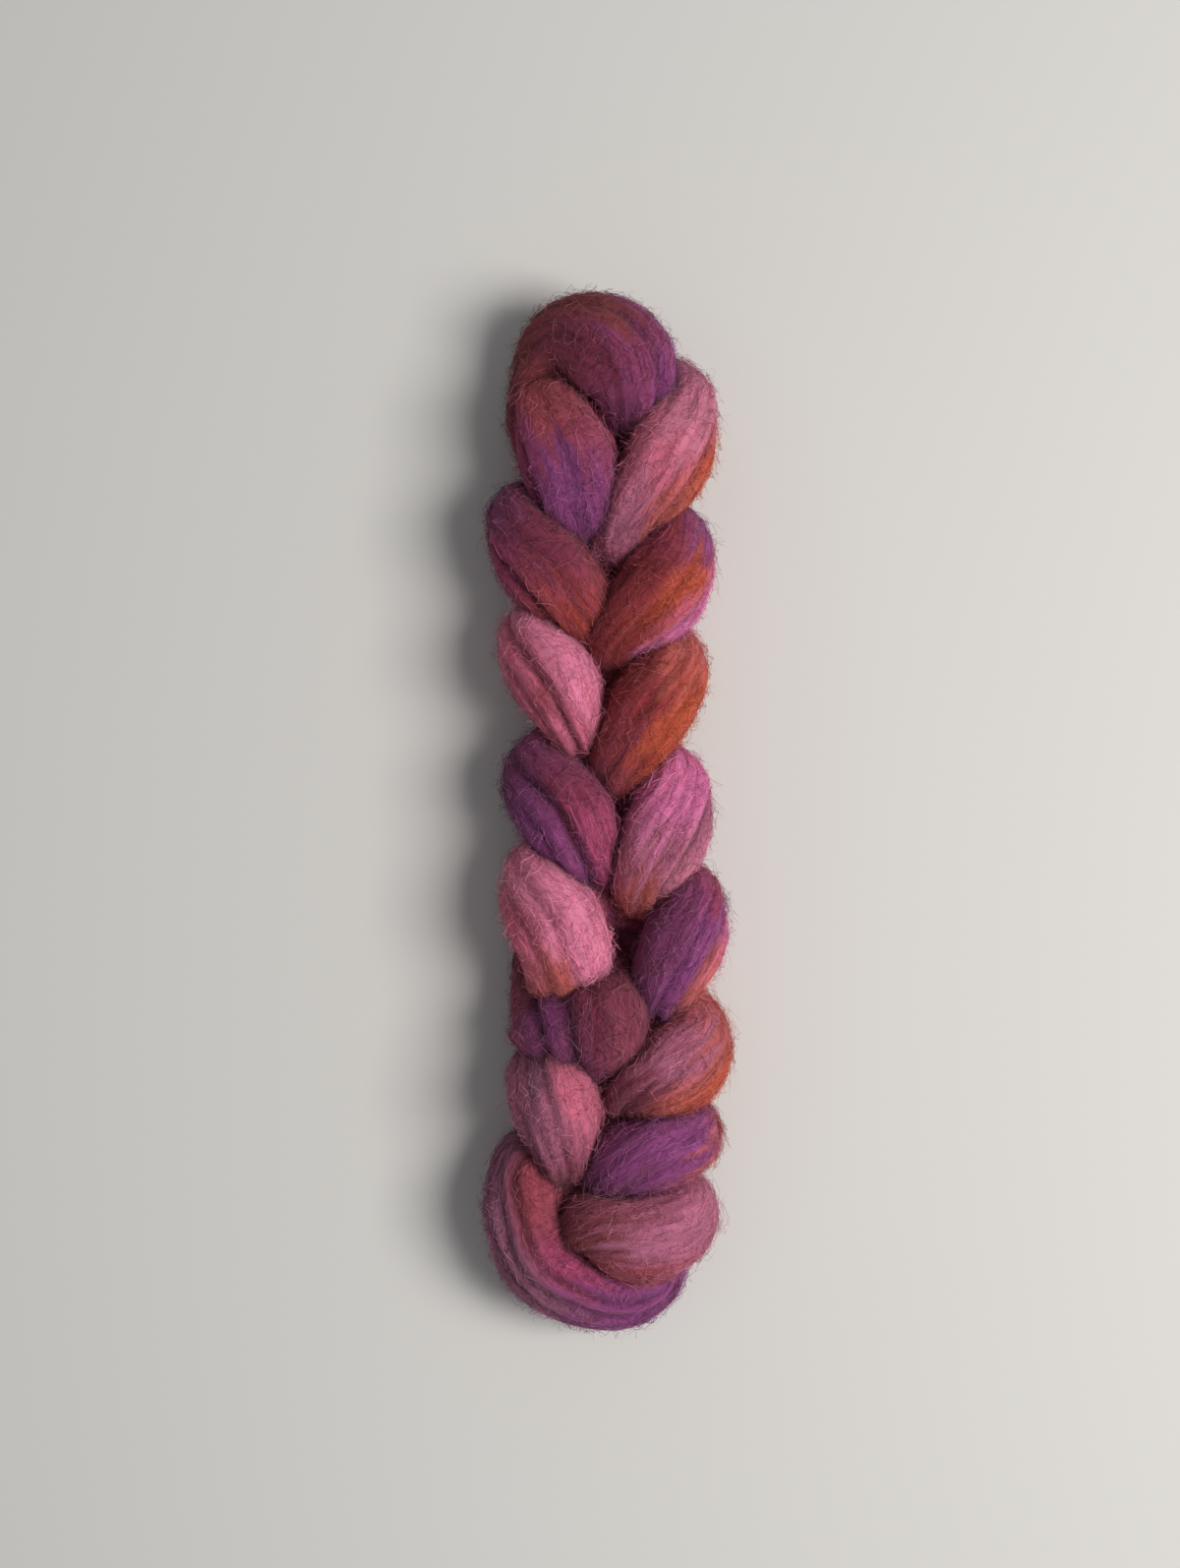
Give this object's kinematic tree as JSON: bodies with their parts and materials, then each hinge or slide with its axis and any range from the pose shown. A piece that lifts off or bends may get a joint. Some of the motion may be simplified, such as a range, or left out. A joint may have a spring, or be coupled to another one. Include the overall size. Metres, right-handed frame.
{
  "type": "braid of wool roving",
  "caption": "Long unspun wool roving chained on itself by hand into a soft fat braid with stacked V-shaped stitches, a hood at one end and a band round the other.",
  "frame": {"origin": "under the middle of the braid's box, on the plane it rests on", "axes": "+Y along the braid towards its finished end, +Z up through the front with the stacked V stitches, +X to the right seen from the front with +Y up"},
  "size_m": [0.0758, 0.321, 0.0433],
  "materials": {
    "wool": "matt, fuzzy unspun wool, dyed in purple, pink, rose, rust and orange"
  },
  "bodies": {
    "root": {"roving_braid": "wool"}
  },
  "joints": []
}
